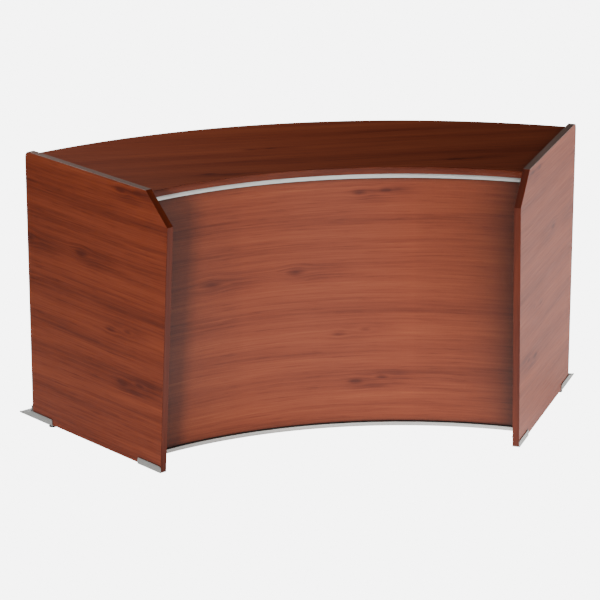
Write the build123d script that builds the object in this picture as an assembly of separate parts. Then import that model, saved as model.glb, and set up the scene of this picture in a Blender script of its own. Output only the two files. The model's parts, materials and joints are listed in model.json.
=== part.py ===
from build123d import *
import math
import os

# A curved standing-height counter: a 60 degree sector between two flat end panels, with a curved front
# panel held in an aluminium frame. Millimetres, +Z up, floor at Z = 0. The curved pieces are built about
# the arc's centre, and the whole object is then moved so that its origin is the middle of its footprint.

# Overall sizes
OVERALL_HEIGHT = 1067.0
OUTER_RADIUS = 2134.0          # rear edge of the countertop and rear outer corners of the end panels
COUNTER_DEPTH = 696.0          # countertop from its rear edge to its front edge, flush with the frame's face
SECTOR_ANGLE = 60.0

# Boards
BOARD = 25.4                   # end panels and countertop
BAND = 2.0                     # edge banding
FRONT_PANEL = 18.0             # curved front panel
COUNTER_DROP = 19.0            # countertop surface below the top of the end panels

# End panel outline, as depths in front of its rear edge
TOP_DEPTH = 724.0
KNEE_DEPTH = 844.0
FOOT_DEPTH = 784.0
KNEE_DROP = 115.0              # knee below the top
CORNER_RADIUS = 25.0           # rear top corner

# Aluminium frame
FRAME_FACE = 15.0              # visible height of the rails and width of the stiles
FRAME_LIP = 6.0
FRAME_BACK_LIP = 3.5
FRAME_WEB = 4.0
GASKET = 2.0
GASKET_PROUD = 3.0             # gasket standing past the lip
PANEL_BACK_PLAY = 0.5
PANEL_TOP_PLAY = 1.0
PANEL_END_PLAY = 4.5           # room for the stile bolt heads
FRAME_CLEARANCE = 1.0          # between the frame's back and the brackets behind it
RAIL_RISE = 25.0               # base rail above the bottom of the end panels

# Feet
FOOT_PLATE = 3.0
REAR_FOOT_WIDTH = 60.0
FRONT_TAB_WIDTH = 55.0         # tab under the front glide, beside the board
FRONT_TAB_LENGTH = 42.0
FLANGE_HEIGHT = 25.0
FLANGE_CORNER = 8.0
FRONT_FOOT_LENGTH = 134.0
REAR_FOOT_LENGTH = 125.0
REAR_FOOT_REACH = 82.0         # foot behind the end panel's rear edge
TIP_HEIGHT = 5.0

# Levelling glides
GLIDE_HEIGHT = 9.0             # retracted height under the foot plate
PAD_RADIUS = 15.0
PAD_TOP_RADIUS = 11.0
PAD_HEIGHT = 7.0
COLLAR_RADIUS = 7.0
PAD_RIM = 1.0                  # rounding of the pad's lower edge
STEM_RADIUS = 4.0
STEM_SEAT = 4.0                # stem inside the pad
STEM_SPARE = 3.0               # stem still above the nut when the glide is fully out
STEM_PLAY = 0.1
NUT_HEIGHT = 8.0
NUT_FLATS = 13.0
INSERT_RADIUS = 6.0
INSERT_LENGTH = 16.0
GLIDE_TRAVEL = 12.0

# Brackets
CLEAT_LEG = 30.0
CLEAT_SHEET = 3.0
CLEAT_REAR = 90.0
CLEAT_GAP = 36.0               # from the cleat's front end to the frame's back, past the corner angles
GUSSET_ANGLES = (-14.0, 0.0, 14.0)
GUSSET_SHEET = 4.0
GUSSET_FLANGE = 40.0
GUSSET_DROP = 300.0
GUSSET_SETBACK = 146.0         # from the gusset's nose to the countertop's rear edge
GUSSET_NOSE = 22.0
CORNER_LEG = 25.0
CORNER_SHEET = 2.5
CORNER_WIDTH = 20.0
JOINED = 1.0                   # how far solids that are united in one piece run into each other

# Fasteners: shank radius, head radius, length
WOOD_SCREW = (2.0, 4.0, 18.0)
PANEL_SCREW = (2.0, 4.0, 16.0)
CORNER_SCREW = (1.5, 2.9, 10.0)
FOOT_SCREW = (2.5, 5.0, 35.0)
FRAME_BOLT = (3.0, 5.25, 18.0)
BOLT_HEAD = 3.0
FRAME_INSERT_RADIUS = 5.0
FRAME_INSERT_LENGTH = 15.0
RAIL_SCREW_COUNT = 7
RAIL_SCREW_MARGIN = 6.0        # degrees from the sector's side to the first rail screw
FOOT_SCREW_EDGE = 22.0         # from the end of the board or foot to the first screw
FOOT_SCREW_PITCH = 45.0
LEG_SHARE = 0.6                # screws across an angle's leg, as a share of the leg
CLEAT_SCREW_SHARES = (0.06, 0.35, 0.65, 0.94)
GUSSET_SCREW_SHARES = (0.08, 0.5, 0.92)
BOLT_SHARES = (0.12, 0.37, 0.62, 0.87)

# Derived places
HALF_ANGLE = math.radians(SECTOR_ANGLE / 2)
FACE_RADIUS = OUTER_RADIUS - COUNTER_DEPTH
PANEL_BOTTOM = GLIDE_HEIGHT + FOOT_PLATE
PANEL_HEIGHT = OVERALL_HEIGHT - PANEL_BOTTOM
COUNTER_TOP = OVERALL_HEIGHT - COUNTER_DROP
COUNTER_BOTTOM = COUNTER_TOP - BOARD
BASE_LOW = PANEL_BOTTOM + RAIL_RISE
BASE_HIGH = BASE_LOW + FRAME_FACE
TOP_LOW = COUNTER_BOTTOM - FRAME_FACE
WOOD_FRONT = FACE_RADIUS + FRAME_LIP + GASKET
WOOD_BACK = WOOD_FRONT + FRONT_PANEL
GROOVE_BACK = WOOD_BACK + PANEL_BACK_PLAY
FRAME_BACK = GROOVE_BACK + FRAME_BACK_LIP
PANEL_MIDDLE = (WOOD_FRONT + WOOD_BACK) / 2
WOOD_LOW = BASE_LOW + FRAME_WEB
WOOD_HIGH = COUNTER_BOTTOM - FRAME_WEB - PANEL_TOP_PLAY
REAR_CORNER = (OUTER_RADIUS * math.sin(HALF_ANGLE), OUTER_RADIUS * math.cos(HALF_ANGLE))
FRONT_MOST = (OUTER_RADIUS - max(KNEE_DEPTH, FOOT_DEPTH)) * math.cos(HALF_ANGLE)
FOOTPRINT_CENTRE = (FRONT_MOST + OUTER_RADIUS) / 2
CLEAT_LENGTH = OUTER_RADIUS - FRAME_BACK - CLEAT_GAP - CLEAT_REAR
GUSSET_REACH = OUTER_RADIUS - GUSSET_SETBACK - FRAME_BACK
STEM_LENGTH = STEM_SEAT + FOOT_PLATE + NUT_HEIGHT + GLIDE_TRAVEL + STEM_SPARE
BESIDE_BOARD = BOARD + COLLAR_RADIUS + STEM_RADIUS
FRONT_FOOT_REAR = FOOT_DEPTH - FRONT_FOOT_LENGTH

# Glides: place along the end panel, place inboard of its outer face, and what the stem screws into
GLIDES = {
    "front": (FRONT_FOOT_REAR + FRONT_TAB_LENGTH / 2, BESIDE_BOARD, "nut"),
    "middle": (REAR_FOOT_LENGTH - PAD_RADIUS, BOARD / 2, "insert"),
    "rear": (-REAR_FOOT_REACH + 2 * PAD_RADIUS, BESIDE_BOARD, "nut"),
}

# The right end panel's own frame: X forwards along the panel, Y up from its bottom edge, Z inboard from
# its outer face. The left side is the mirror image of the right.
PANEL_PLANE = Plane(
    origin=(REAR_CORNER[0], REAR_CORNER[1], PANEL_BOTTOM),
    x_dir=(-math.sin(HALF_ANGLE), -math.cos(HALF_ANGLE), 0),
    z_dir=(-math.cos(HALF_ANGLE), math.sin(HALF_ANGLE), 0),
)
SIDES = ("right", "left")
parts = {}


def block(x, y, z):
    """A box from three (low, high) pairs."""
    size = [high - low for low, high in (x, y, z)]
    corner = [low for low, high in (x, y, z)]
    return Pos(*corner) * Box(*size, align=(Align.MIN,) * 3)


def prism(outline, z):
    """An outline in the XY plane made solid between two heights."""
    return Pos(0, 0, z[0]) * extrude(outline, z[1] - z[0], dir=(0, 0, 1))


def sector(inset):
    """The plan between the two end panels, inset from their outer faces."""
    apex = inset / math.sin(HALF_ANGLE)
    reach = 2 * OUTER_RADIUS
    side = reach * math.tan(HALF_ANGLE)
    return Polygon((0, apex), (side, apex + reach), (-side, apex + reach), align=None)


def ring(radii, z, inset=BOARD):
    """A curved bar between two radii and two heights, reaching to the inset from both outer faces."""
    return prism((Circle(radii[1]) - Circle(radii[0])) & sector(inset), z)


def inside(inset, z):
    """Everything between the end panels that is at least the inset from both outer faces."""
    return prism(sector(inset), z)


def right_half(solid):
    span = 2 * OUTER_RADIUS
    return solid & block((0, span), (0, span), (0, span))


def at_side(solid, side):
    """Places a solid given in the right end panel's frame, mirrored for the left side."""
    placed = PANEL_PLANE.location * solid
    return placed if side == "right" else mirror(placed, about=Plane.YZ)


def both_sides(solid):
    return [at_side(solid, side) for side in SIDES]


def at_angle(solid, angle):
    """Turns a solid built along +Y about the arc's centre, clockwise from above."""
    return Rot(0, 0, -angle) * solid


def screw(size, direction):
    """A countersunk screw with its head's flat face at the origin, pointing along direction."""
    shank, head, length = size
    cone = Cone(head, shank, head - shank, align=(Align.CENTER, Align.CENTER, Align.MIN))
    body = Cylinder(shank, length, align=(Align.CENTER, Align.CENTER, Align.MIN))
    return Plane(origin=(0, 0, 0), z_dir=direction).location * (cone + body)


def group(solids):
    return Compound(children=[s for solid in solids for s in solid.solids()])


def cut(solid, tools):
    for tool in tools:
        solid = solid - tool
    return solid


# End panels: a board with banding on every visible edge

def inset_corner(before, corner, after, depth):
    """The corner moved inwards so that both its edges are set back by depth, for a clockwise outline."""
    ahead = (Vector(*after) - Vector(*corner)).normalized()
    back = (Vector(*before) - Vector(*corner)).normalized()
    bisector = (ahead + back).normalized()
    half = math.radians(ahead.get_angle(back)) / 2
    return tuple((Vector(*corner) + bisector * (depth / math.sin(half))))[:2]


def end_outline(inset):
    """Rear bottom, rear top, front top, knee and front bottom corners of the end panel, set back by inset."""
    knee = (KNEE_DEPTH, PANEL_HEIGHT - KNEE_DROP)
    rear_top, front_top = (0, PANEL_HEIGHT), (TOP_DEPTH, PANEL_HEIGHT)
    foot = (FOOT_DEPTH, 0)
    if inset == 0:
        return [(0, 0), rear_top, front_top, knee, foot]
    slope = (KNEE_DEPTH - FOOT_DEPTH) / knee[1]
    return [
        (inset, 0),
        inset_corner((0, 0), rear_top, front_top, inset),
        inset_corner(rear_top, front_top, knee, inset),
        inset_corner(front_top, knee, foot, inset),
        (FOOT_DEPTH - inset * math.hypot(1, slope), 0),
    ]


def rounded_outline(points, radius):
    face = Polygon(*points, align=None)
    corner = face.vertices().sort_by_distance((*points[1], 0))[0]
    return fillet(corner, radius)


def end_panel_pieces():
    outer, inner = end_outline(0), end_outline(BAND)
    board = rounded_outline(inner, CORNER_RADIUS - BAND)
    whole = rounded_outline(outer, CORNER_RADIUS)
    top_rear = Polygon(outer[0], outer[1], outer[2], inner[2], inner[1], inner[0], align=None)
    cap = Polygon(outer[1], (CORNER_RADIUS, PANEL_HEIGHT), (0, PANEL_HEIGHT - CORNER_RADIUS), align=None)
    return {
        "": board,
        "_top_edge_band": (top_rear + cap) & (whole - board),
        "_chamfer_edge_band": Polygon(outer[2], outer[3], inner[3], inner[2], align=None),
        "_front_edge_band": Polygon(outer[3], outer[4], inner[4], inner[3], align=None),
    }


# Feet: an angle plate under each corner, its flange on the outer face

def foot_flange(points, rounded):
    face = Polygon(*points, align=None)
    corners = [face.vertices().sort_by_distance((*p, 0))[0] for p in rounded]
    return prism(fillet(corners, FLANGE_CORNER), (-FOOT_PLATE, 0))


def foot_plate(rear, front, width):
    return block((rear, front), (-FOOT_PLATE, 0), (-FOOT_PLATE, width - FOOT_PLATE))


def front_foot():
    rear, front = FRONT_FOOT_REAR, FOOT_DEPTH
    low, high = -FOOT_PLATE, FLANGE_HEIGHT - FOOT_PLATE
    outline = [(rear, low), (rear, high), (front, high), (front, low)]
    plate = foot_plate(rear, front, BOARD + FOOT_PLATE)
    tab = foot_plate(rear, rear + FRONT_TAB_LENGTH, FRONT_TAB_WIDTH)
    return plate + tab + foot_flange(outline, outline[1:3])


def rear_foot():
    rear, front = -REAR_FOOT_REACH, REAR_FOOT_LENGTH
    low, high = -FOOT_PLATE, FLANGE_HEIGHT - FOOT_PLATE
    outline = [(rear, low), (rear, low + TIP_HEIGHT), (0, high), (front, high), (front, low)]
    return foot_plate(rear, front, REAR_FOOT_WIDTH) + foot_flange(outline, outline[3:4])


# Glides: a plastic pad on a threaded stem, in an insert in the board or in a nut on the foot plate

def upright(solid, glide):
    """Stands a solid built along +Z at a glide's place in the end panel's frame."""
    forward, inboard, _ = GLIDES[glide]
    return Pos(forward, 0, inboard) * Rot(-90, 0, 0) * solid


def glide_pad():
    low = -PANEL_BOTTOM
    profile = Polyline(
        (0, low), (PAD_RADIUS - PAD_RIM, low), (PAD_RADIUS, low + PAD_RIM), (PAD_RADIUS, low + 3 * PAD_RIM),
        (PAD_TOP_RADIUS, low + PAD_HEIGHT), (COLLAR_RADIUS, low + PAD_HEIGHT),
        (COLLAR_RADIUS, -FOOT_PLATE), (0, -FOOT_PLATE), close=True,
    )
    pad = revolve(Plane.XZ * make_face(profile), Axis.Z)
    return pad - glide_stem()


def glide_stem():
    low = -FOOT_PLATE - STEM_SEAT
    return Pos(0, 0, low) * Cylinder(STEM_RADIUS, STEM_LENGTH, align=(Align.CENTER, Align.CENTER, Align.MIN))


def stem_bore(low, length):
    bore = Cylinder(STEM_RADIUS + STEM_PLAY, length, align=(Align.CENTER, Align.CENTER, Align.MIN))
    return Pos(0, 0, low) * bore


def glide_nut():
    hexagon = RegularPolygon(NUT_FLATS / 2, 6, major_radius=False)
    return extrude(hexagon, NUT_HEIGHT) - stem_bore(0, NUT_HEIGHT)


def glide_insert():
    sleeve = Cylinder(INSERT_RADIUS, INSERT_LENGTH, align=(Align.CENTER, Align.CENTER, Align.MIN))
    return sleeve - stem_bore(0, INSERT_LENGTH)


def insert_pocket():
    """The hole that the insert and the stem above it need in the board."""
    pocket = Cylinder(INSERT_RADIUS, INSERT_LENGTH, align=(Align.CENTER, Align.CENTER, Align.MIN))
    return pocket + stem_bore(0, STEM_LENGTH)


def foot_screws():
    """Screws from under the foot plates up into the middle of the board's bottom edge."""
    front = [FRONT_FOOT_REAR + FOOT_SCREW_EDGE, FOOT_DEPTH - FOOT_SCREW_EDGE]
    rear = [FOOT_SCREW_EDGE, FOOT_SCREW_EDGE + FOOT_SCREW_PITCH]
    return [Pos(x, -FOOT_PLATE, BOARD / 2) * screw(FOOT_SCREW, (0, 1, 0)) for x in front + rear]


# Brackets

def cleat():
    """The steel angle under the countertop on each end panel, in the end panel's frame."""
    high = COUNTER_BOTTOM - PANEL_BOTTOM
    run = (CLEAT_REAR, CLEAT_REAR + CLEAT_LENGTH)
    wall = block(run, (high - CLEAT_LEG, high), (BOARD, BOARD + CLEAT_SHEET))
    shelf = block(run, (high - CLEAT_SHEET, high), (BOARD, BOARD + CLEAT_LEG))
    return wall + shelf


def cleat_screws():
    high = COUNTER_BOTTOM - PANEL_BOTTOM
    across = CLEAT_LEG * LEG_SHARE
    places = [CLEAT_REAR + CLEAT_LENGTH * share for share in CLEAT_SCREW_SHARES]
    stagger = 3 * WOOD_SCREW[1]
    wall = [Pos(x, high - across, BOARD + CLEAT_SHEET) * screw(WOOD_SCREW, (0, 0, -1)) for x in places]
    shelf = [
        Pos(x + stagger, high - CLEAT_SHEET, BOARD + across) * screw(WOOD_SCREW, (0, 1, 0))
        for x in places[:-1]
    ]
    return wall + shelf


def gusset():
    """A welded bracket on the back of the front panel that carries the countertop, built along +Y."""
    half = GUSSET_FLANGE / 2
    low, high = TOP_LOW - PANEL_TOP_PLAY - GUSSET_DROP, TOP_LOW - PANEL_TOP_PLAY
    back = WOOD_BACK + GUSSET_SHEET
    nose = FRAME_BACK + GUSSET_REACH
    shelf_low = COUNTER_BOTTOM - GUSSET_SHEET
    wall = ring((WOOD_BACK, back), (low, high)) & block((-half, half), (0, 2 * back), (low, high))
    shelf_rear = FRAME_BACK + FRAME_CLEARANCE
    shelf = block((-half, half), (shelf_rear, nose), (shelf_low, COUNTER_BOTTOM))
    profile = Polygon(
        (back - JOINED, low), (nose, shelf_low - GUSSET_NOSE), (nose, shelf_low + JOINED),
        (shelf_rear, shelf_low + JOINED), (shelf_rear, high), (back - JOINED, high), align=None,
    )
    web = Plane.YZ * Pos(0, 0, -GUSSET_SHEET / 2) * extrude(profile, GUSSET_SHEET)
    return wall + web + shelf


def gusset_screws():
    across = GUSSET_FLANGE / 4
    high = TOP_LOW - PANEL_TOP_PLAY
    back = WOOD_BACK + GUSSET_SHEET
    shelf_low = COUNTER_BOTTOM - GUSSET_SHEET
    wall, shelf = [], []
    for share in GUSSET_SCREW_SHARES:
        wall.append(Pos(across, back, high - GUSSET_DROP * share) * screw(PANEL_SCREW, (0, -1, 0)))
        shelf.append(Pos(across, FRAME_BACK + GUSSET_REACH * share, shelf_low) * screw(WOOD_SCREW, (0, 0, 1)))
    return wall + shelf


def corner_bracket(low):
    """The small angle that ties a rail's back to the end panel's inner face, for the right side."""
    z = (low, low + CORNER_WIDTH)
    wall = ring((FRAME_BACK, FRAME_BACK + CORNER_LEG), z) - inside(BOARD + CORNER_SHEET, z)
    back = ring((FRAME_BACK, FRAME_BACK + CORNER_SHEET), z) - inside(BOARD + CORNER_LEG, z)
    return right_half(wall + back)


# Frame

def rail(low, web_low, lip):
    """A curved channel: a bar with a groove for the front panel, closed by the web."""
    bar = ring((FACE_RADIUS, FRAME_BACK), (low, low + FRAME_FACE))
    return bar - ring((FACE_RADIUS + FRAME_LIP, GROOVE_BACK), lip, BOARD - JOINED)


def stile():
    """The upright channel between the rails at the right end."""
    z = (BASE_HIGH, TOP_LOW)
    bar = ring((FACE_RADIUS, FRAME_BACK), z) - inside(BOARD + FRAME_FACE, z)
    groove = ring((FACE_RADIUS + FRAME_LIP, GROOVE_BACK), z, BOARD + FRAME_WEB)
    return right_half(bar - groove)


def stile_gasket():
    z = (BASE_HIGH, TOP_LOW)
    bead = ring((FACE_RADIUS + FRAME_LIP, WOOD_FRONT), z, BOARD + FRAME_WEB)
    return right_half(bead - inside(BOARD + FRAME_FACE + GASKET_PROUD, z))


def bolt_places():
    """Places along and up the end panel where a stile is bolted to it."""
    return [(OUTER_RADIUS - PANEL_MIDDLE, PANEL_HEIGHT * share) for share in BOLT_SHARES]


def frame_bolts():
    """Bolts through a stile's web into the end panel, in the end panel's frame."""
    shank = Cylinder(FRAME_BOLT[0], FRAME_BOLT[2], align=(Align.CENTER, Align.CENTER, Align.MAX))
    head = Cylinder(FRAME_BOLT[1], BOLT_HEAD, align=(Align.CENTER, Align.CENTER, Align.MIN))
    return [Pos(x, y, BOARD + FRAME_WEB) * (shank + head) for x, y in bolt_places()]


def frame_inserts():
    """Threaded inserts in the end panel's inner face, round the bolts."""
    sleeve = Cylinder(FRAME_INSERT_RADIUS, FRAME_INSERT_LENGTH, align=(Align.CENTER, Align.CENTER, Align.MAX))
    return [Pos(x, y, BOARD) * sleeve for x, y in bolt_places()]


def rail_screws():
    """Screws through the top rail's web up into the countertop."""
    spread = SECTOR_ANGLE - 2 * RAIL_SCREW_MARGIN
    step = spread / (RAIL_SCREW_COUNT - 1)
    one = Pos(0, PANEL_MIDDLE, COUNTER_BOTTOM - FRAME_WEB) * screw(WOOD_SCREW, (0, 0, 1))
    return [at_angle(one, step * i - spread / 2) for i in range(RAIL_SCREW_COUNT)]


def mirrored(solid):
    return {"right": solid, "left": mirror(solid, about=Plane.YZ)}


def corner_screw(low):
    """The screw through a small corner angle into the end panel, in the end panel's frame."""
    forward = OUTER_RADIUS - FRAME_BACK - CORNER_LEG * LEG_SHARE
    height = low + CORNER_WIDTH / 2 - PANEL_BOTTOM
    return Pos(forward, height, BOARD + CORNER_SHEET) * screw(CORNER_SCREW, (0, 0, -1))


# Fasteners are made first, and each piece they pass through is cut to them.
side_screws = [s for one in foot_screws() for s in both_sides(one)]
cleat_fasteners = [s for one in cleat_screws() for s in both_sides(one)]
bolts = [s for one in frame_bolts() for s in both_sides(one)]
inserts = [s for one in frame_inserts() for s in both_sides(one)]
gusset_fasteners = [at_angle(one, angle) for angle in GUSSET_ANGLES for one in gusset_screws()]
counter_screws = rail_screws()
corner_heights = (
    BASE_LOW - (CORNER_WIDTH - FRAME_FACE) / 2,
    COUNTER_BOTTOM - FRAME_CLEARANCE - CORNER_WIDTH,
)
corner_brackets = [solid for low in corner_heights for solid in mirrored(corner_bracket(low)).values()]
corner_fasteners = [s for low in corner_heights for s in both_sides(corner_screw(low))]

# Countertop and its bands
board_radii = (FACE_RADIUS + BAND, OUTER_RADIUS - BAND)
countertop = ring(board_radii, (COUNTER_BOTTOM, COUNTER_TOP))
parts["countertop"] = cut(countertop, counter_screws + gusset_fasteners + cleat_fasteners)
parts["countertop_front_edge_band"] = ring((FACE_RADIUS, board_radii[0]), (COUNTER_BOTTOM, COUNTER_TOP))
parts["countertop_rear_edge_band"] = ring((board_radii[1], OUTER_RADIUS), (COUNTER_BOTTOM, COUNTER_TOP))

# Front panel and its frame
front_panel = ring((WOOD_FRONT, WOOD_BACK), (WOOD_LOW, WOOD_HIGH), BOARD + FRAME_WEB + PANEL_END_PLAY)
parts["curved_front_panel"] = cut(front_panel, gusset_fasteners)
parts["base_rail"] = rail(BASE_LOW, BASE_LOW, (WOOD_LOW, BASE_HIGH))
top_rail = rail(TOP_LOW, COUNTER_BOTTOM - FRAME_WEB, (TOP_LOW, COUNTER_BOTTOM - FRAME_WEB))
parts["top_rail"] = cut(top_rail, counter_screws)
bead = (FACE_RADIUS + FRAME_LIP, WOOD_FRONT)
parts["base_gasket"] = ring(bead, (WOOD_LOW, BASE_HIGH + GASKET_PROUD), BOARD + FRAME_FACE + GASKET_PROUD)
parts["top_gasket"] = ring(bead, (TOP_LOW - GASKET_PROUD, WOOD_HIGH), BOARD + FRAME_FACE + GASKET_PROUD)
for side, solid in mirrored(stile()).items():
    parts[f"{side}_stile"] = cut(solid, bolts)
for side, solid in mirrored(stile_gasket()).items():
    parts[f"{side}_stile_gasket"] = solid

# End panels, feet and glides
for side in SIDES:
    for suffix, outline in end_panel_pieces().items():
        piece = at_side(prism(outline, (0, BOARD)), side)
        if suffix == "":
            pocket = at_side(upright(insert_pocket(), "middle"), side)
            piece = cut(piece, [pocket] + side_screws + inserts + cleat_fasteners + corner_fasteners)
        parts[f"{side}_end_panel{suffix}"] = piece
    bores = [upright(stem_bore(-FOOT_PLATE, FOOT_PLATE), glide) for glide in GLIDES]
    for name, foot in (("front", front_foot()), ("rear", rear_foot())):
        parts[f"{side}_{name}_foot"] = cut(at_side(cut(foot, bores), side), side_screws)
    for glide in GLIDES:
        parts[f"{side}_{glide}_glide_pad"] = at_side(upright(glide_pad(), glide), side)
        parts[f"{side}_{glide}_glide_stem"] = at_side(upright(glide_stem(), glide), side)

# Brackets
for side in SIDES:
    parts[f"{side}_counter_cleat"] = cut(at_side(cleat(), side), cleat_fasteners)
for number, angle in enumerate(GUSSET_ANGLES, 1):
    parts[f"counter_gusset_{number}"] = cut(at_angle(gusset(), angle), gusset_fasteners)
parts["frame_corner_brackets"] = group(cut(solid, corner_fasteners) for solid in corner_brackets)

# Fasteners, grouped by kind
nuts = [upright(glide_nut(), glide) for glide, place in GLIDES.items() if place[2] == "nut"]
sleeves = [upright(glide_insert(), glide) for glide, place in GLIDES.items() if place[2] == "insert"]
parts["glide_nuts"] = group(s for nut in nuts for s in both_sides(nut))
parts["glide_inserts"] = group(s for sleeve in sleeves for s in both_sides(sleeve))
parts["frame_inserts"] = group(cut(sleeve, bolts) for sleeve in inserts)
parts["frame_bolts"] = group(bolts)
parts["foot_screws"] = group(side_screws)
parts["cleat_screws"] = group(cleat_fasteners)
parts["gusset_screws"] = group(gusset_fasteners)
parts["rail_screws"] = group(counter_screws)
parts["corner_bracket_screws"] = group(corner_fasteners)

os.makedirs("parts", exist_ok=True)
for name, solid in parts.items():
    export_step(Pos(0, -FOOTPRINT_CENTRE, 0) * solid, f"parts/{name}.step")
print(len(parts), "parts; glide travel", GLIDE_TRAVEL)
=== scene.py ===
import json
import math

import bmesh
import bpy
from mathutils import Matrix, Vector

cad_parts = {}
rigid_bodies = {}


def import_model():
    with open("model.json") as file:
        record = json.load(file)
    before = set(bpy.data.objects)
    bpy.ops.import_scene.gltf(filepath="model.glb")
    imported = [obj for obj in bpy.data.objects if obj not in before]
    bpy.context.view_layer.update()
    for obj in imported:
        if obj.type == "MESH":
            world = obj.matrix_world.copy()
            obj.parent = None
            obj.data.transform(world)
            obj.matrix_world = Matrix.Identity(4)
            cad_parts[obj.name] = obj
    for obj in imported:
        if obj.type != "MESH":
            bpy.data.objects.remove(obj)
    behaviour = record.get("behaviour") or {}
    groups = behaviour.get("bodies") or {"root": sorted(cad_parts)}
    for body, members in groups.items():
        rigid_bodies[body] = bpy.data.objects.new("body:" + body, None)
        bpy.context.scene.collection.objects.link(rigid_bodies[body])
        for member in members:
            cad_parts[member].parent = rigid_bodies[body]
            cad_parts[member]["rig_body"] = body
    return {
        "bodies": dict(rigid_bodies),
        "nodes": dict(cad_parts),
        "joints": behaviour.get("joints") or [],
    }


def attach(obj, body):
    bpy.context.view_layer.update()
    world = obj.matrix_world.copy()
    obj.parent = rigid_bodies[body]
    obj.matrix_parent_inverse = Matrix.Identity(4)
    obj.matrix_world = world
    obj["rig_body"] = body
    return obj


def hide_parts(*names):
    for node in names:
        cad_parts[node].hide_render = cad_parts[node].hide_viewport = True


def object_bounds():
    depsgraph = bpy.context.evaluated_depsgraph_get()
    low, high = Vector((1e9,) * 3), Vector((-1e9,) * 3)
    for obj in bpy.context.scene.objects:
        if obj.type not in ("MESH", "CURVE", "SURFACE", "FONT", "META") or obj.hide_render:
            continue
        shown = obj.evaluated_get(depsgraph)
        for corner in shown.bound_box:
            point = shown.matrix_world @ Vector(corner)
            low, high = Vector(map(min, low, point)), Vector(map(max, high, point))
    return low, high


# Looks of a curved cherry-laminate counter. Metres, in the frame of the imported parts: the knee side faces
# -Y, and the counter stands at Z = 0. The CAD nodes keep their shapes and get finishes and softened edges,
# and the plain screws, nuts and stems are replaced by detailed pieces.

HALF_ANGLE = math.radians(30)          # half of the counter's sector
SIDES = {"left": -1, "right": 1}
WHITE = (1, 1, 1, 1)
BLACK = (0, 0, 0, 1)
X, Y, Z = (1, 0, 0), (0, 1, 0), (0, 0, 1)

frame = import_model()
first_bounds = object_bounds()
nodes = frame["nodes"]


# Places taken from the frame

def arc_of(node):
    """Centre (as a Y) and radius of the outermost arc of a curved node that is symmetric about X = 0."""
    points = [v.co for v in nodes[node].data.vertices]
    apex = max(points, key=lambda p: p.y)
    corner = max(points, key=lambda p: p.x)
    rise = apex.y - corner.y
    radius = (rise ** 2 + corner.x ** 2) / (2 * rise)
    return apex.y - radius, radius


ARC_CENTRE_Y, OUTER_RADIUS = arc_of("countertop_rear_edge_band")
PANEL_RADIUS = arc_of("curved_front_panel")[1]
MIDDLE = (first_bounds[0] + first_bounds[1]) / 2
GLIDE_TRAVEL = max(joint["range_m"][1] for joint in frame["joints"])


# Node trees

class Nodes:
    """A node tree, built node by node."""

    def __init__(self, tree):
        self.tree = tree

    def feed(self, socket, value):
        """Links an output to a socket, or sets a plain value on it."""
        if isinstance(value, bpy.types.NodeSocket):
            self.tree.links.new(value, socket)
        else:
            socket.default_value = value

    def node(self, kind, inputs=(), **settings):
        made = self.tree.nodes.new(kind)
        for name, value in settings.items():
            setattr(made, name, value)
        for place, value in dict(inputs).items():
            self.feed(made.inputs[place], value)
        return made

    def math(self, operation, *values, clamp=False):
        made = self.node("ShaderNodeMath", dict(enumerate(values)), operation=operation, use_clamp=clamp)
        return made.outputs[0]

    def place(self):
        """The position in the frame when everything is at rest."""
        return self.node("ShaderNodeTexCoord").outputs["Object"]

    def along(self, direction):
        """How far the position lies along a direction."""
        made = self.node("ShaderNodeVectorMath", {0: self.place(), 1: direction}, operation="DOT_PRODUCT")
        return made.outputs["Value"]

    def noise(self, vector, scale, detail, roughness=0.5):
        inputs = {"Vector": vector, "Scale": scale, "Detail": detail, "Roughness": roughness}
        return self.node("ShaderNodeTexNoise", inputs).outputs["Fac"]

    def stretched(self, u, v, scale_u, scale_v, detail, depth):
        """Noise stretched along the grain: cells per metre along and across it, detail, and its own slice."""
        inputs = {0: self.math("MULTIPLY", u, scale_u), 1: self.math("MULTIPLY", v, scale_v), 2: depth}
        return self.noise(self.node("ShaderNodeCombineXYZ", inputs).outputs[0], 1.0, detail, 0.55)

    def spread(self, value, low, high, to_low=0.0, to_high=1.0):
        made = self.node(
            "ShaderNodeMapRange",
            {"Value": value, "From Min": low, "From Max": high, "To Min": to_low, "To Max": to_high},
            interpolation_type="SMOOTHSTEP",
        )
        return made.outputs[0]

    def ramp(self, value, stops):
        made = self.node("ShaderNodeValToRGB", {0: value})
        elements = made.color_ramp.elements
        while len(elements) < len(stops):
            elements.new(0.5)
        for element, (position, colour) in zip(elements, stops):
            element.position = position
            element.color = (*colour, 1)
        return made.outputs[0]

    def mix(self, share, a, b, blend="MIX"):
        made = self.node("ShaderNodeMix", {0: share, 6: a, 7: b}, data_type="RGBA", blend_type=blend)
        return made.outputs[2]

    def oval(self, u, v, centre, half_length, half_width, reach):
        """1 in the middle of an oval that lies along u, falling to 0 at reach times its size."""
        du = self.math("MULTIPLY", self.math("SUBTRACT", u, centre[0]), 1 / half_length)
        dv = self.math("MULTIPLY", self.math("SUBTRACT", v, centre[1]), 1 / half_width)
        squares = self.math("ADD", self.math("MULTIPLY", du, du), self.math("MULTIPLY", dv, dv))
        return self.spread(self.math("SQRT", squares), reach, 0.0)


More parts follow.
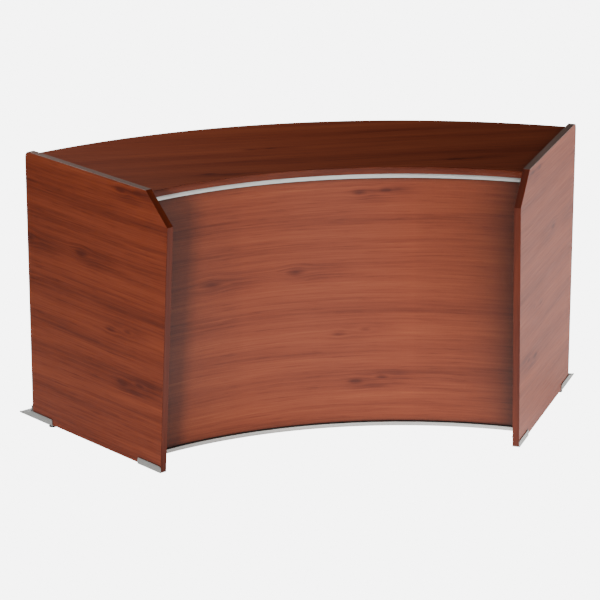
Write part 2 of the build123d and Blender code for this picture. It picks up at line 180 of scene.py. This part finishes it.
class Material(Nodes):
    """A procedural material round one Principled shader. What is the same all over is set on its sockets."""

    def __init__(self, name, **constants):
        self.material = bpy.data.materials.new(name)
        self.material.use_nodes = True
        super().__init__(self.material.node_tree)
        self.shader = self.tree.nodes["Principled BSDF"]
        for socket, value in constants.items():
            self.shader.inputs[socket.replace("_", " ")].default_value = value

    def colour(self, value):
        self.feed(self.shader.inputs["Base Color"], value)

    def roughness(self, value):
        self.feed(self.shader.inputs["Roughness"], value)

    def bump(self, height, distance, strength):
        made = self.node("ShaderNodeBump", {"Height": height, "Distance": distance, "Strength": strength})
        self.feed(self.shader.inputs["Normal"], made.outputs[0])


# Grain directions: each gives metres along and across the grain

def on_arc(radius):
    """Grain that follows the arc, upright across it."""
    def coordinates(m):
        x, y = m.along(X), m.math("SUBTRACT", m.along(Y), ARC_CENTRE_Y)
        return m.math("MULTIPLY", m.math("ARCTAN2", x, y), radius), m.along(Z)
    return coordinates


def forward_of(side):
    """The direction from an end panel's rear edge to its front edge."""
    return Vector((-SIDES[side] * math.sin(HALF_ANGLE), -math.cos(HALF_ANGLE), 0))


def on_end(side):
    """Grain that runs front to back on an end panel, measured forwards from its rear edge."""
    forward = forward_of(side)
    rear = forward.dot(Vector((0, ARC_CENTRE_Y, 0))) - OUTER_RADIUS
    return lambda m: (m.math("SUBTRACT", m.along(forward), rear), m.along(Z))


def round_end(side):
    """Grain along the banding of an end panel, which runs both upright and front to back."""
    forward = forward_of(side)
    return lambda m: (m.along(forward + Vector(Z)), m.along(forward.cross(Z)))


def on_top(m):
    """Straight grain across the countertop."""
    return m.along(X), m.along(Y)


# Cherry laminate

LAMINATE_IOR = 1.46
NOISE_SPAN = (0.2, 0.8)                # the values that noise mostly takes
LAMINATE_ROUGHNESS = (0.46, 0.38)      # in the dark and in the light fibres
FIBRE_HEIGHT = 0.00012
PAINTED_SHADE_REACH, PAINTED_SHADE_POWER = 0.4, 2.8           # how far and how strongly painted shade darkens the colour towards corners
PANEL_TONE = 0.57
END_TONE_WITH_PAINTED_SHADE = {"left": 0.38, "right": PANEL_TONE}    # painted shade: the left end panel's colour is made darker, as its side gets less light
END_SHEET = (-0.455, -0.085)           # how the decor sheet lies on the end panels, against the front panel
TOP_SLICE = 83.0                       # the countertop is cut from another sheet

# Knots of the printed decor: metres along and across the grain, and half length
SHEET_KNOTS = (
    (0.12, 0.95, 0.034), (0.22, 0.96, 0.030), (-0.12, 0.66, 0.048), (-0.46, 0.65, 0.060),
    (0.045, 0.41, 0.036), (0.146, 0.42, 0.030), (0.11, 0.215, 0.036), (0.21, 0.23, 0.032),
)
TOP_KNOTS = (
    (-0.23, 0.14, 0.036), (-0.15, 0.145, 0.03), (-0.44, -0.17, 0.04),
    (0.49, -0.14, 0.036), (0.59, -0.13, 0.03),
)
DECOR = (
    (0.00, (0.105, 0.014, 0.004)),
    (0.28, (0.190, 0.030, 0.009)),
    (0.52, (0.270, 0.049, 0.016)),
    (0.78, (0.335, 0.069, 0.023)),
    (1.00, (0.415, 0.098, 0.034)),
)

# Layers of the grain: cells per metre along and across it, detail, slice, and share of the tone
WANDER = (0.9, 2.0, 2.0, 0.0, 0.03)    # its share is the metres that lines wander
BANDS = (0.45, 11.0, 3.0, 3.0, 0.95)
STREAKS = (1.7, 80.0, 4.0, 7.0, 0.80)
FIBRES = (5.5, 240.0, 4.0, 11.0, 0.60)
DASHES = (9.0, 150.0, 2.0, 17.0, 0.14)
DASH_EDGE = (0.56, 0.70)               # where in their noise the dashes begin and are full

KNOT_WIDTH, KNOT_EDGE = 1 / 2.6, 1.15  # of its half length, and where its rim fades out
KNOT_PARTING, PARTING_REACH = -0.55, 2.2          # how far grain lines part round a knot
SMUDGE_LENGTH, SMUDGE_EDGE = 3.2, 1.3
SMUDGE_AHEAD, SMUDGE_BELOW = 1.4, 1 / 8           # its middle, from the knot's, in half lengths
KNOT_DARKNESS = (0.75, 0.35, 0.10, 0.45)          # from light to dark fibres, the least and the most
SMUDGE_DARKNESS = (0.70, 0.35, 0.10, 0.30)


def laminate(name, coordinates, knots=SHEET_KNOTS, shift=(0.0, 0.0), tone=PANEL_TONE, slice_at=0.0):
    """Cherry decor under a satin melamine surface, with painted shade in its colour towards corners."""
    m = Material(name, IOR=LAMINATE_IOR)
    u, v = coordinates(m)
    u = m.math("ADD", u, shift[0])
    v = m.math("ADD", v, shift[1])

    def layer(across, settings):
        *scales, own_slice, _ = settings
        return m.stretched(u, across, *scales, slice_at + own_slice)

    def centred(noise):
        return m.math("SUBTRACT", noise, 0.5)

    # Grain lines wander a little, and part round each knot, which sits in a soft darker smudge
    bent = m.math("MULTIPLY_ADD", centred(layer(v, WANDER)), WANDER[-1], v)
    knot, smudge = 0.0, 0.0
    for at_u, at_v, half in knots:
        near = m.oval(u, v, (at_u, at_v), half, half / 2, PARTING_REACH)
        aside = m.math("MULTIPLY", m.math("SUBTRACT", v, at_v), near)
        bent = m.math("MULTIPLY_ADD", aside, KNOT_PARTING, bent)
        knot = m.math("MAXIMUM", knot, m.oval(u, v, (at_u, at_v), half, half * KNOT_WIDTH, KNOT_EDGE))
        middle = (at_u + SMUDGE_AHEAD * half, at_v - SMUDGE_BELOW * half)
        smudge = m.math("MAXIMUM", smudge, m.oval(u, v, middle, SMUDGE_LENGTH * half, half, SMUDGE_EDGE))

    bands, streaks, fibres = (layer(bent, settings) for settings in (BANDS, STREAKS, FIBRES))
    for noise, settings in ((bands, BANDS), (streaks, STREAKS), (fibres, FIBRES)):
        tone = m.math("MULTIPLY_ADD", centred(noise), settings[-1], tone)
    dashes = m.spread(layer(bent, DASHES), *DASH_EDGE)
    tone = m.math("SUBTRACT", tone, m.math("MULTIPLY", dashes, DASHES[-1]))
    tone = m.math("SUBTRACT", tone, m.math("MULTIPLY", smudge, m.spread(streaks, *SMUDGE_DARKNESS)))
    tone = m.math("SUBTRACT", tone, m.math("MULTIPLY", knot, m.spread(fibres, *KNOT_DARKNESS)), clamp=True)

    # Painted shade: the colour darkens towards the corners where boards meet others, through an
    # ambient-occlusion node
    open_share = m.node("ShaderNodeAmbientOcclusion", {"Distance": PAINTED_SHADE_REACH}, samples=8).outputs["AO"]
    m.colour(m.mix(1.0, m.ramp(tone, DECOR), m.math("POWER", open_share, PAINTED_SHADE_POWER), "MULTIPLY"))
    m.roughness(m.spread(fibres, *NOISE_SPAN, *LAMINATE_ROUGHNESS))
    m.bump(fibres, FIBRE_HEIGHT, 0.5)
    return m.material


# Other finishes, each with its dark and light tone

ARC_BAND = ((0.11, 0.017, 0.005), (0.19, 0.035, 0.011))
CHERRY_BAND = ((0.085, 0.011, 0.003), (0.145, 0.022, 0.006))
TAUPE_BAND = ((0.24, 0.150, 0.125), (0.34, 0.225, 0.190))
ALUMINIUM = ((0.71, 0.72, 0.69), (0.83, 0.84, 0.80))
RUBBER = ((0.010, 0.010, 0.010), (0.022, 0.022, 0.021))
STEEL = ((0.50, 0.51, 0.49), (0.60, 0.61, 0.59))
ZINC = ((0.50, 0.52, 0.54), (0.68, 0.69, 0.68))
MOULDED = ((0.012, 0.012, 0.013), (0.026, 0.026, 0.027))
BAND_ROUGHNESS = (0.48, 0.38)
DRAWN_ROUGHNESS = (0.32, 0.42)
BAND_FIBRE_HEIGHT, DRAWING_HEIGHT = 0.0001, 0.00005
GRIT_SCALE = 1600.0


def edge_band(name, tones, coordinates):
    """Thin banding: fine fibres over a slow change of tone."""
    m = Material(name, IOR=1.4)
    u, v = coordinates(m)
    fibres = m.stretched(u, v, scale_u=7.0, scale_v=260.0, detail=4.0, depth=1.0)
    slow = m.stretched(u, v, scale_u=2.0, scale_v=40.0, detail=3.0, depth=5.0)
    both = m.math("MULTIPLY_ADD", m.math("SUBTRACT", fibres, 0.5), 0.6, slow)
    m.colour(m.ramp(both, ((0.3, tones[0]), (0.7, tones[1]))))
    m.roughness(m.spread(fibres, *NOISE_SPAN, *BAND_ROUGHNESS))
    m.bump(fibres, BAND_FIBRE_HEIGHT, 0.4)
    return m.material


def anodised(name, tones, coordinates):
    """Satin anodised aluminium, with drawing lines along its length and patches of duller satin."""
    m = Material(name, Metallic=0.85, IOR=1.5)
    u, v = coordinates(m)
    lines = m.stretched(u, v, scale_u=3.0, scale_v=900.0, detail=3.0, depth=2.0)
    patches = m.stretched(u, v, scale_u=6.0, scale_v=12.0, detail=3.0, depth=8.0)
    m.colour(m.ramp(lines, ((0.3, tones[0]), (0.7, tones[1]))))
    drawn = m.spread(lines, *NOISE_SPAN, *DRAWN_ROUGHNESS)
    m.roughness(m.math("MULTIPLY_ADD", patches, 0.14, drawn))
    m.bump(lines, DRAWING_HEIGHT, 0.5)
    return m.material


def cloudy(name, tones, clouds, roughness, grit, **constants):
    """Slow clouds, so many a metre, under a fine grit of some height: steel, zinc, rubber or plastic."""
    m = Material(name, **constants)
    slow = m.noise(m.place(), clouds, 4.0)
    fine = m.noise(m.place(), GRIT_SCALE, 2.0)
    m.colour(m.ramp(slow, ((0.32, tones[0]), (0.68, tones[1]))))
    gritty = m.spread(fine, 0.3, 0.7, roughness - 0.06, roughness + 0.04)
    m.roughness(m.math("MULTIPLY_ADD", slow, 0.12, gritty))
    m.bump(fine, grit, 0.6)
    return m.material


finishes = {
    "panel": laminate("cherry_laminate_panel", on_arc(PANEL_RADIUS)),
    "top": laminate("cherry_laminate_top", on_top, TOP_KNOTS, slice_at=TOP_SLICE),
    "top_band": edge_band("cherry_band_arc", ARC_BAND, on_arc(OUTER_RADIUS)),
    "aluminium": anodised("anodised_aluminium_finish", ALUMINIUM, on_arc(OUTER_RADIUS)),
    "gasket": cloudy("black_gasket_finish", RUBBER, clouds=40.0, roughness=0.6, grit=0.00008),
    "steel": cloudy("bracket_steel_finish", STEEL, clouds=18.0, roughness=0.42, grit=0.00006, Metallic=0.6),
    "zinc": cloudy("zinc_steel_finish", ZINC, clouds=60.0, roughness=0.3, grit=0.00003, Metallic=1.0),
    "plastic": cloudy("black_plastic_finish", MOULDED, clouds=30.0, roughness=0.5, grit=0.00008),
}
for side in SIDES:
    # The left end's laminate is a darker copy of the same decor: painted shade in its tone
    finishes[f"{side}_end"] = laminate(
        f"cherry_laminate_{side}_end", on_end(side), shift=END_SHEET, tone=END_TONE_WITH_PAINTED_SHADE[side]
    )
    finishes[f"{side}_band"] = edge_band(f"cherry_band_{side}", CHERRY_BAND, round_end(side))
    finishes[f"{side}_taupe"] = edge_band(f"taupe_band_{side}", TAUPE_BAND, round_end(side))

# Radius of the edges of what has each kind of finish, in metres
SOFTENED = {
    "end": 0.0006, "top": 0.0004, "top_band": 0.0005, "band": 0.0005, "taupe": 0.0004, "aluminium": 0.0005,
    "steel": 0.0004, "plastic": 0.0004,
}


def finish_of(name):
    """The finish for a CAD node, from its name."""
    side = name.split("_")[0]
    if name.endswith("end_panel"):
        return f"{side}_end"
    if name.endswith("end_panel_top_edge_band"):
        return f"{side}_taupe"
    if "end_panel" in name:
        return f"{side}_band"
    if name == "countertop":
        return "top"
    if name.startswith("countertop"):
        return "top_band"
    if name == "curved_front_panel":
        return "panel"
    if "gasket" in name:
        return "gasket"
    if name.endswith(("rail", "stile")):
        return "aluminium"
    if name.endswith("pad"):
        return "plastic"
    if name.endswith(("foot", "cleat", "brackets")) or name.startswith("counter_gusset"):
        return "steel"
    return "zinc"


def soften(node, width):
    """Rounds a CAD node's sharp edges a little, as sanding, rolling or moulding does."""
    weld = node.modifiers.new("weld", "WELD")
    weld.merge_threshold = 0.00002
    flat = node.modifiers.new("flat", "DECIMATE")
    flat.decimate_type = "DISSOLVE"
    flat.angle_limit = math.radians(0.2)
    bevel = node.modifiers.new("bevel", "BEVEL")
    bevel.width = width
    bevel.segments = 3
    bevel.limit_method = "ANGLE"
    bevel.angle_limit = math.radians(40)
    bevel.use_clamp_overlap = True
    bevel.harden_normals = True


for name, node in nodes.items():
    finish = finish_of(name)
    node.data.materials.clear()
    node.data.materials.append(finishes[finish])
    kind = finish.removeprefix("left_").removeprefix("right_")
    if kind in SOFTENED:
        soften(node, SOFTENED[kind])


# Fasteners in mesh code: cross recesses, chamfers and threads for the CAD's plain screws, nuts and stems

SCREWED = ("foot", "cleat", "gusset", "rail", "corner_bracket")
TURN = 24                              # vertices round a ring
NUT_TURN = 48
TINY = 0.00001
RECESS_REACH, RECESS_HALF_WIDTH = 0.56, 0.15      # of a screw head's radius
RECESS_DEPTH, RECESS_TAPER = 0.7, 0.6             # of the head's height, and of the recess's size
RECESS_POINT = 1.15                    # of the recess's depth
HEAD_CHAMFER = 0.04                    # of the head's radius
SHANK_RUN_OUT = 1.2                    # where the thread starts, in head heights
POINT_START, POINT_END, POINT_ROOT = 1.5, 1.0, 0.7    # of the shank's radius, from the end
THREAD_ROOT = 0.74                     # of the thread's outer radius
STEM_PITCH = 0.00125
STEM_RUN_OUT = 1.2                     # where a stem's thread starts, in chamfers
SCREW_RINGS, STEM_RINGS = 2, 4         # rings of vertices in a thread's pitch
NUT_FACE = 0.97                        # radius of a nut's flat face, of half its width across flats
NUT_SINK = 0.1                         # of the bore's radius
NUT_CHAMFER = math.tan(math.radians(30))
SHARP = math.radians(35)                # edges sharper than this aren't shaded smooth


def solids(name):
    """The separate solids of a CAD node, each as a list of (normal, area, corners) faces."""
    bm = bmesh.new()
    bm.from_mesh(nodes[name].data)
    bmesh.ops.remove_doubles(bm, verts=bm.verts, dist=TINY)
    found = []
    for first in bm.faces:
        first.tag = False
    for first in bm.faces:
        if first.tag:
            continue
        first.tag = True
        reached = [first]
        for face in reached:
            for other in (f for edge in face.edges for f in edge.link_faces if not f.tag):
                other.tag = True
                reached.append(other)
        found.append([(f.normal.copy(), f.calc_area(), [v.co.copy() for v in f.verts]) for f in reached])
    bm.free()
    return found


def corners_of(faces):
    return [corner for _, _, corners in faces for corner in corners]


def box_of(corners):
    low, high = (Vector(pick(corner[axis] for corner in corners) for axis in range(3)) for pick in (min, max))
    return low, high


def turns(count):
    """Angles round a ring. The first is half the width of a recess's arm before the across axis."""
    return [math.tau * (k - 1) / count for k in range(count)]


class Turned:
    """Rings of vertices about an axis, joined into one closed surface."""

    def __init__(self, bm, origin, axis, across=None):
        self.bm, self.origin, self.axis = bm, origin, axis
        self.across = across or axis.orthogonal().normalized()
        self.up = axis.cross(self.across)
        self.last = None

    def point(self, x, y, along):
        return self.bm.verts.new(self.origin + self.across * x + self.up * y + self.axis * along)

    def join(self, ring):
        for k in range(len(ring)):
            after = (k + 1) % len(ring)
            self.bm.faces.new((self.last[k], self.last[after], ring[after], ring[k]))

    def ring(self, points):
        """A ring through (across, up, along) points, joined to the ring before it."""
        made = [self.point(*point) for point in points]
        if self.last:
            self.join(made)
        self.last = made
        return made

    def circle(self, radius, along, count=TURN):
        return self.ring([(radius * math.cos(a), radius * math.sin(a), along) for a in turns(count)])

    def cap(self, along):
        """Closes the last ring with a point on the axis."""
        tip = self.point(0, 0, along)
        for k in range(len(self.last)):
            self.bm.faces.new((self.last[k], self.last[(k + 1) % len(self.last)], tip))

    def thread(self, radius, start, end, pitch, rings):
        """A V thread, so many rings a pitch, that runs out at both ends."""
        steps = round((end - start) / pitch * rings)
        for step in range(steps + 1):
            along = start + (end - start) * step / steps
            deep = (1 - THREAD_ROOT) * min(1.0, (along - start) / pitch, (end - along) / pitch)
            ring = []
            for a in turns(TURN):
                height = abs(2 * ((along / pitch - a / math.tau) % 1) - 1)
                r = radius * (1 - deep * height)
                ring.append((r * math.cos(a), r * math.sin(a), along))
            self.ring(ring)


def cross(reach, half_width, along):
    """The outline of a cross recess, with as many points as a ring."""
    middle = (reach + half_width) / 2
    arm = [
        (reach, -half_width), (reach, 0), (reach, half_width), (middle, half_width), (half_width, half_width),
        (half_width, middle),
    ]
    points = []
    for _ in range(4):
        points += [(x, y, along) for x, y in arm]
        arm = [(-y, x) for x, y in arm]
    return points


def screw(bm, faces):
    """A countersunk cross-head screw where a plain CAD screw is. Its head's flat is its largest flat face."""
    flats = {}
    for normal, area, _ in faces:
        key = tuple(round(value, 1) for value in normal)
        flats[key] = flats.get(key, Vector()) + area * normal
    axis = -max(flats.values(), key=lambda flat: flat.length).normalized()
    corners = corners_of(faces)
    top = min(corner.dot(axis) for corner in corners)
    end = max(corner.dot(axis) for corner in corners)
    rim = [corner for corner in corners if corner.dot(axis) < top + TINY]
    tip = [corner for corner in corners if corner.dot(axis) > end - TINY]
    origin = sum(box_of(rim), Vector()) / 2
    head = max((corner - origin).length for corner in rim)
    shank = max((corner - origin - axis * (end - top)).length for corner in tip)
    length, head_height = end - top, head - shank

    made = Turned(bm, origin, axis)
    deep = head_height * RECESS_DEPTH
    reach, half_width = head * RECESS_REACH, head * RECESS_HALF_WIDTH
    made.ring(cross(reach * RECESS_TAPER, half_width * RECESS_TAPER, deep))
    made.cap(deep * RECESS_POINT)
    made.ring(cross(reach, half_width, 0.0))
    made.circle(head * (1 - HEAD_CHAMFER), 0.0)
    made.circle(head, head * HEAD_CHAMFER)
    made.circle(shank, head_height)
    made.thread(shank, head_height * SHANK_RUN_OUT, length - shank * POINT_START, shank, SCREW_RINGS)
    made.circle(shank * POINT_ROOT, length - shank * POINT_END)
    made.cap(length)


def stem(bm, faces):
    """A threaded stem with chamfered ends."""
    low, high = box_of(corners_of(faces))
    radius, length = (high.x - low.x) / 2, high.z - low.z
    chamfer = radius * (1 - THREAD_ROOT)
    run_out = chamfer * STEM_RUN_OUT
    made = Turned(bm, Vector(((low.x + high.x) / 2, (low.y + high.y) / 2, low.z)), Vector(Z))
    made.circle(radius - chamfer, 0.0)
    made.cap(0.0)
    made.circle(radius, chamfer)
    made.thread(radius, run_out, length - run_out, STEM_PITCH, STEM_RINGS)
    made.circle(radius, length - chamfer)
    made.circle(radius - chamfer, length)
    made.cap(length)


def nut(bm, faces):
    """A hexagon nut, chamfered on both faces, with a countersunk bore."""
    low, high = box_of(corners_of(faces))
    origin, length = Vector(((low.x + high.x) / 2, (low.y + high.y) / 2, low.z)), high.z - low.z
    walls = [face for face in faces if abs(face[0].z) < 0.5]
    normal, _, corners = max(walls, key=lambda face: face[1])
    half_flats = abs((corners[0] - origin).dot(normal))
    bore = min((corner - origin).to_2d().length for corner in corners_of(faces))
    face, sink = half_flats * NUT_FACE, bore * NUT_SINK

    def hexagon(side):
        """The walls' edge where the chamfer meets them, below (-1) or above (1) the middle."""
        points = []
        for a in turns(NUT_TURN):
            out = half_flats / math.cos((a + math.pi / 6) % (math.pi / 3) - math.pi / 6)
            down = (out - face) * NUT_CHAMFER
            points.append((out * math.cos(a), out * math.sin(a), length / 2 + side * (length / 2 - down)))
        return points

    made = Turned(bm, origin, Vector(Z), Vector((normal.x, normal.y, 0)).normalized())
    first = made.circle(bore, sink, NUT_TURN)
    made.circle(bore + sink, 0.0, NUT_TURN)
    made.circle(face, 0.0, NUT_TURN)
    made.ring(hexagon(-1))
    made.ring(hexagon(1))
    made.circle(face, length, NUT_TURN)
    made.circle(bore + sink, length, NUT_TURN)
    made.circle(bore, length - sink, NUT_TURN)
    made.join(first)


def detailed(node, name, make):
    """One piece in place of a CAD node, with every solid of it made again in detail."""
    bm = bmesh.new()
    for faces in solids(node):
        make(bm, faces)
    bmesh.ops.recalc_face_normals(bm, faces=bm.faces)
    mesh = bpy.data.meshes.new(name)
    bm.to_mesh(mesh)
    bm.free()
    for polygon in mesh.polygons:
        polygon.use_smooth = True
    mesh.set_sharp_from_angle(angle=SHARP)
    mesh.materials.append(finishes["zinc"])
    piece = bpy.data.objects.new(name, mesh)
    bpy.context.scene.collection.objects.link(piece)
    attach(piece, nodes[node]["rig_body"])
    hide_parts(node)


for fixed in SCREWED:
    detailed(f"{fixed}_screws", f"{fixed}_cross_head_screws", screw)
detailed("glide_nuts", "chamfered_glide_nuts", nut)
for body in frame["bodies"]:
    if body.endswith("_glide"):
        detailed(f"{body}_stem", f"{body}_threaded_stem", stem)


# Stage: floor, backdrop, light and camera

FLOOR_HALF = 40.0
FLOOR_COLOUR = (0.86, 0.86, 0.85, 1)   # what the floor throws back of the lights
SEEN = 6.5                             # how bright floor and backdrop look
FLOOR_GLOW = (0.00, 0.70)              # how brightly the floor lights the counter, left and right
FLOOR_GLOW_ENDS = (-2.3, 2.0)          # the X where it is so
POOL = 1.05                            # how much more it does so in a pool in front of the knee space
POOL_MIDDLE, POOL_SIZE, POOL_REACH = (0.45, -1.0), (0.9, 0.8), 1.8
SKY_GLOW = (0.02, 0.06)                # how brightly the backdrop lights it, behind and in front
SKY_ENDS = (0.6, -0.6)                 # the share of +Y in the direction where it is so

# Soft boxes: place, what each faces, size, power, and whether it gives a highlight
LIGHTS = {
    "key": ((-3.8, -6.2, 0.5), MIDDLE, (1.2, 0.8), 335.0, False),
    "front": ((0.8, -7.0, 0.4), MIDDLE, (3.5, 1.2), 55.0, True),
    "side": ((5.0, -0.3, 0.8), (1.0, 0.0, 0.5), (1.6, 1.4), 125.0, False),
    "back": ((0.0, 3.2, 0.45), MIDDLE, (2.0, 0.5), 30.0, True),
    "top": ((-1.6, 1.4, 3.6), (-0.5, 0.3, 1.0), (2.0, 2.0), 62.0, True),
}
CAMERA_PLACE = (-2.096, -10.102, 3.817)
CAMERA_YAW, CAMERA_PITCH = math.radians(11.36), math.radians(17.90)
CAMERA_LENS, CAMERA_SENSOR = 171.9, 36.0


def floor():
    """A plain pale floor that glows like a lit sweep: evenly white to the eye, and a soft light from below
    that is strongest in front of the knee space and on the right. It lies as low as the glides can reach."""
    level = -GLIDE_TRAVEL
    corners = [(x * FLOOR_HALF, y * FLOOR_HALF, level) for x, y in ((-1, -1), (1, -1), (1, 1), (-1, 1))]
    mesh = bpy.data.meshes.new("floor")
    mesh.from_pydata(corners, [], [(0, 1, 2, 3)])
    made = bpy.data.objects.new("floor", mesh)
    bpy.context.scene.collection.objects.link(made)

    m = Material("pale_floor", Roughness=0.9, Specular_IOR_Level=0.1, Emission_Color=WHITE)
    x, y = m.along(X), m.along(Y)
    pool = m.math("MULTIPLY", m.oval(x, y, POOL_MIDDLE, *POOL_SIZE, POOL_REACH), POOL)
    glow = m.math("ADD", m.spread(x, *FLOOR_GLOW_ENDS, *FLOOR_GLOW), pool)
    seen = m.node("ShaderNodeLightPath").outputs["Is Camera Ray"]
    m.colour(m.mix(seen, FLOOR_COLOUR, BLACK))
    m.feed(m.shader.inputs["Emission Strength"], m.math("MAXIMUM", glow, m.math("MULTIPLY", seen, SEEN)))
    mesh.materials.append(m.material)
    made.visible_shadow = False


def backdrop():
    """White where the camera looks past the floor. It lights the counter dimly, and least from behind."""
    made = bpy.data.worlds.new("studio")
    made.use_nodes = True
    made.node_tree.nodes.clear()
    tree = Nodes(made.node_tree)
    towards = tree.node("ShaderNodeTexCoord").outputs["Generated"]
    rearward = tree.node("ShaderNodeSeparateXYZ", {0: towards}).outputs[1]
    ends = {"From Min": SKY_ENDS[0], "From Max": SKY_ENDS[1], "To Min": SKY_GLOW[0], "To Max": SKY_GLOW[1]}
    glow = tree.node("ShaderNodeMapRange", {"Value": rearward, **ends}).outputs[0]
    dim = tree.node("ShaderNodeBackground", {0: WHITE, 1: glow}).outputs[0]
    bright = tree.node("ShaderNodeBackground", {0: WHITE, 1: SEEN}).outputs[0]
    seen = tree.node("ShaderNodeLightPath").outputs["Is Camera Ray"]
    both = tree.node("ShaderNodeMixShader", {0: seen, 1: dim, 2: bright}).outputs[0]
    tree.node("ShaderNodeOutputWorld", {0: both})
    bpy.context.scene.world = made


def soft_box(name, place, target, size, power, mirrored):
    light = bpy.data.lights.new(name, "AREA")
    light.shape = "RECTANGLE"
    light.size, light.size_y = size
    light.energy = power
    made = bpy.data.objects.new(name, light)
    made.location = place
    made.rotation_euler = (Vector(target) - Vector(place)).to_track_quat("-Z", "Y").to_euler()
    made.visible_camera = False
    made.visible_glossy = mirrored
    bpy.context.scene.collection.objects.link(made)


def camera():
    data = bpy.data.cameras.new("camera")
    data.lens, data.sensor_width = CAMERA_LENS, CAMERA_SENSOR
    made = bpy.data.objects.new("camera", data)
    made.location = CAMERA_PLACE
    made.rotation_euler = (math.pi / 2 - CAMERA_PITCH, 0, -CAMERA_YAW)
    bpy.context.scene.collection.objects.link(made)
    bpy.context.scene.camera = made


floor()
backdrop()
for name, settings in LIGHTS.items():
    soft_box(name, *settings)
camera()
